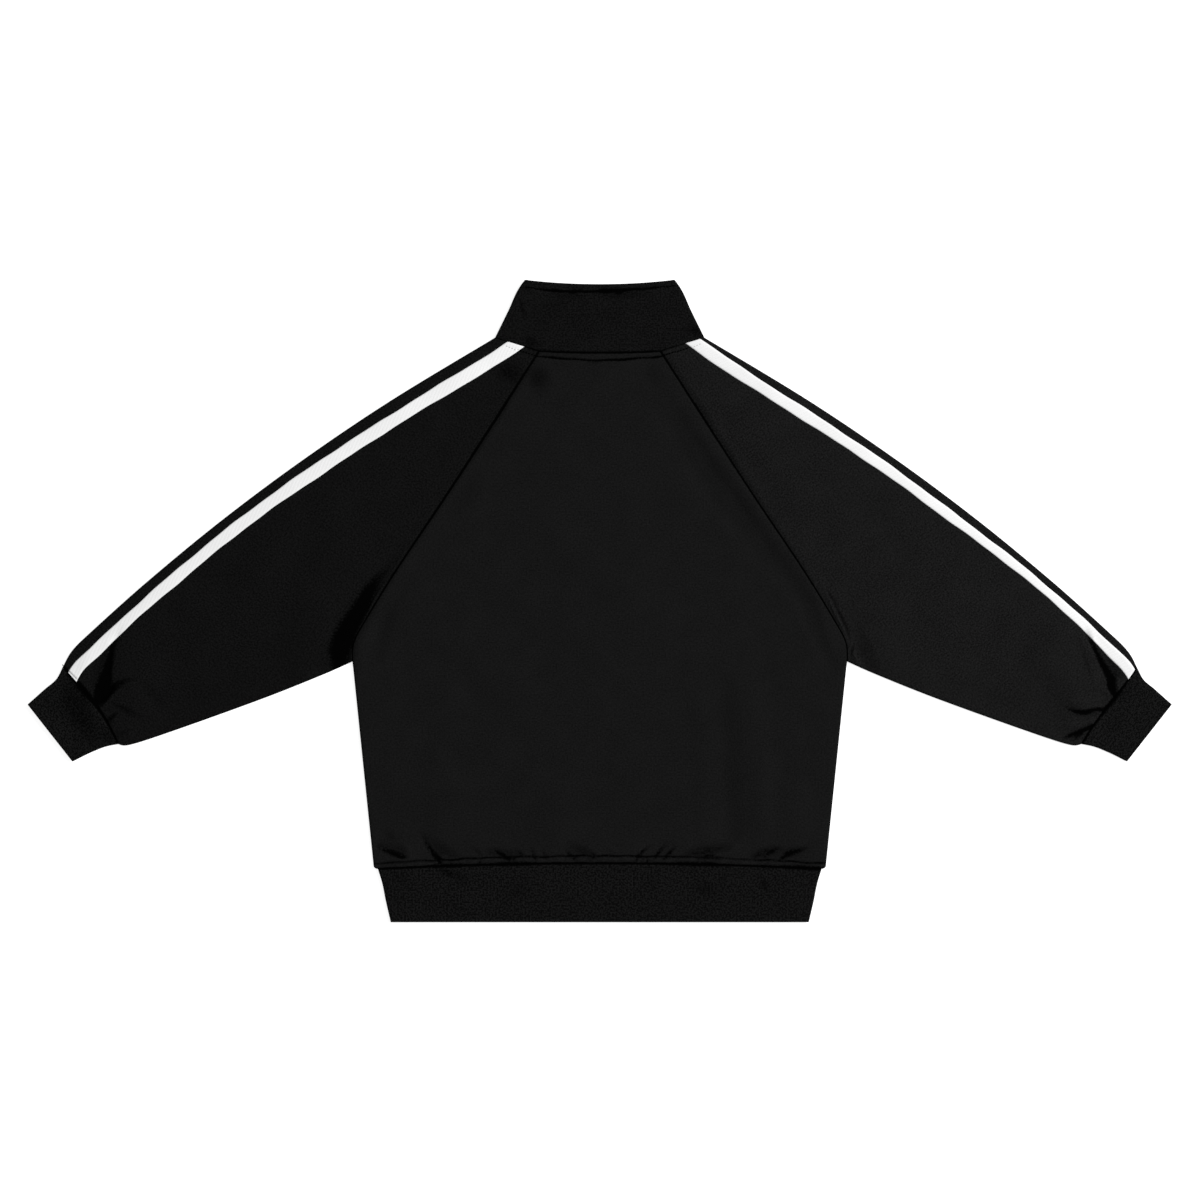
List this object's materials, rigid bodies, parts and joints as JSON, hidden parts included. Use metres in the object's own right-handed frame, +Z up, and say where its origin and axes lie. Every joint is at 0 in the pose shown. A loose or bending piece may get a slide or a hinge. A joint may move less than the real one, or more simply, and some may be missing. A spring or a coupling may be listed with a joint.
{
  "type": "track jacket laid flat",
  "caption": "Black knit raglan track jacket lying flat with its back up: tall stand collar, rib cuffs and hem, a white stripe down each sleeve, and a closed front zip.",
  "frame": {"origin": "middle of the jacket's outline, on the surface that it lies on", "axes": "+X across the jacket to the picture's right, +Y from the hem to the collar, +Z up, out of the back"},
  "size_m": [1.3948, 0.783, 0.0091],
  "materials": {
    "knit": "matte smooth double knit",
    "rib": "matte fine rib knit",
    "stripe": "smooth woven tape",
    "zip_tape": "woven tape",
    "zip_teeth": "moulded teeth",
    "zip_metal": "satin dark metal"
  },
  "bodies": {
    "jacket": {"back_panel": "knit", "front_left": "knit", "front_right": "knit", "sleeve_left": "knit", "sleeve_right": "knit", "collar": "knit", "hem_band": "rib", "cuff_left": "rib", "cuff_right": "rib", "stripe_left": "stripe", "stripe_right": "stripe", "zip_tape_left": "zip_tape", "zip_tape_right": "zip_tape", "zip_chain": "zip_teeth", "zip_box": "zip_teeth", "zip_slider": "zip_metal"},
    "pull": {"zip_pull": "zip_metal"}
  },
  "joints": [
    {"name": "pull_hinge", "type": "hinge", "parent": "jacket", "child": "pull", "pos_m": [0, 0.3305, 0.00175], "axis": [1, 0, 0], "range_deg": [0, 170]}
  ]
}
